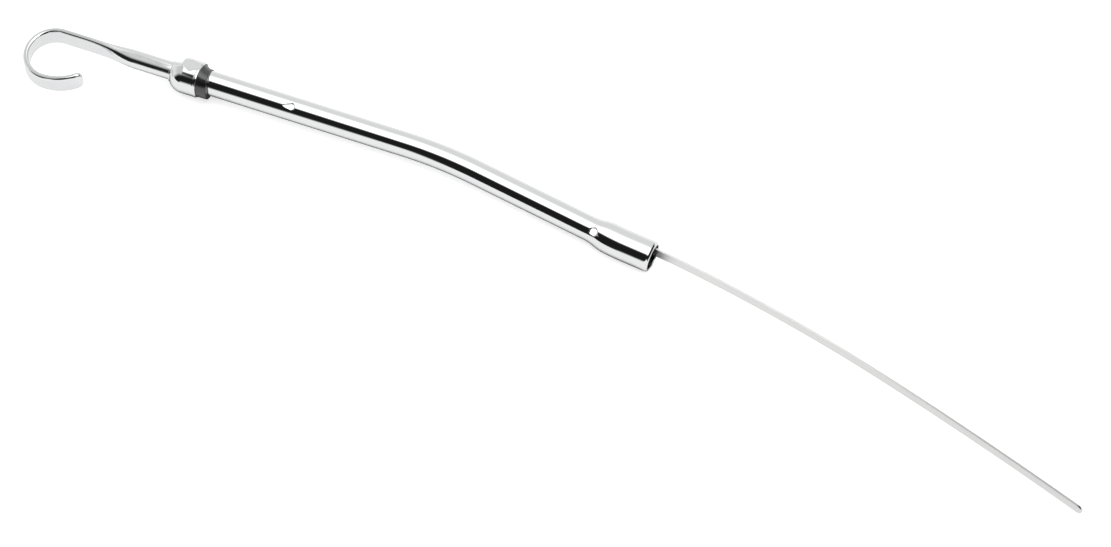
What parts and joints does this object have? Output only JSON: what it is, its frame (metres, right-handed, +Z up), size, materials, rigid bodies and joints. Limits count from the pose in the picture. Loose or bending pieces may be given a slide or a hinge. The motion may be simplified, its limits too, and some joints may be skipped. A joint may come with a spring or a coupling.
{
  "type": "engine oil dipstick with guide tube",
  "caption": "Chrome-plated engine oil dipstick pushed home in its bent guide tube, with hooked finger handle, domed cap, black rubber seal and flexible steel blade.",
  "frame": {"origin": "on the ground plane, under the middle of the laid part's outer box", "axes": "+X along the part's length, out of the guide tube's socket towards the blade's tip; +Y to the side away from the hook's opening; +Z up from the ground it lies on"},
  "size_m": [0.4373, 0.0432, 0.0146],
  "materials": {
    "tube_chrome": "bright polished plating",
    "handle_chrome": "bright polished plating",
    "cap_chrome": "bright polished plating",
    "seal_rubber": "soft satin",
    "blade_steel": "smooth rolled, fine satin",
    "pin_steel": "plain"
  },
  "bodies": {
    "root": {"guide_tube": "tube_chrome", "handle": "handle_chrome", "cap": "cap_chrome", "seal": "seal_rubber", "blade": "blade_steel", "blade_pin": "pin_steel"}
  },
  "joints": []
}
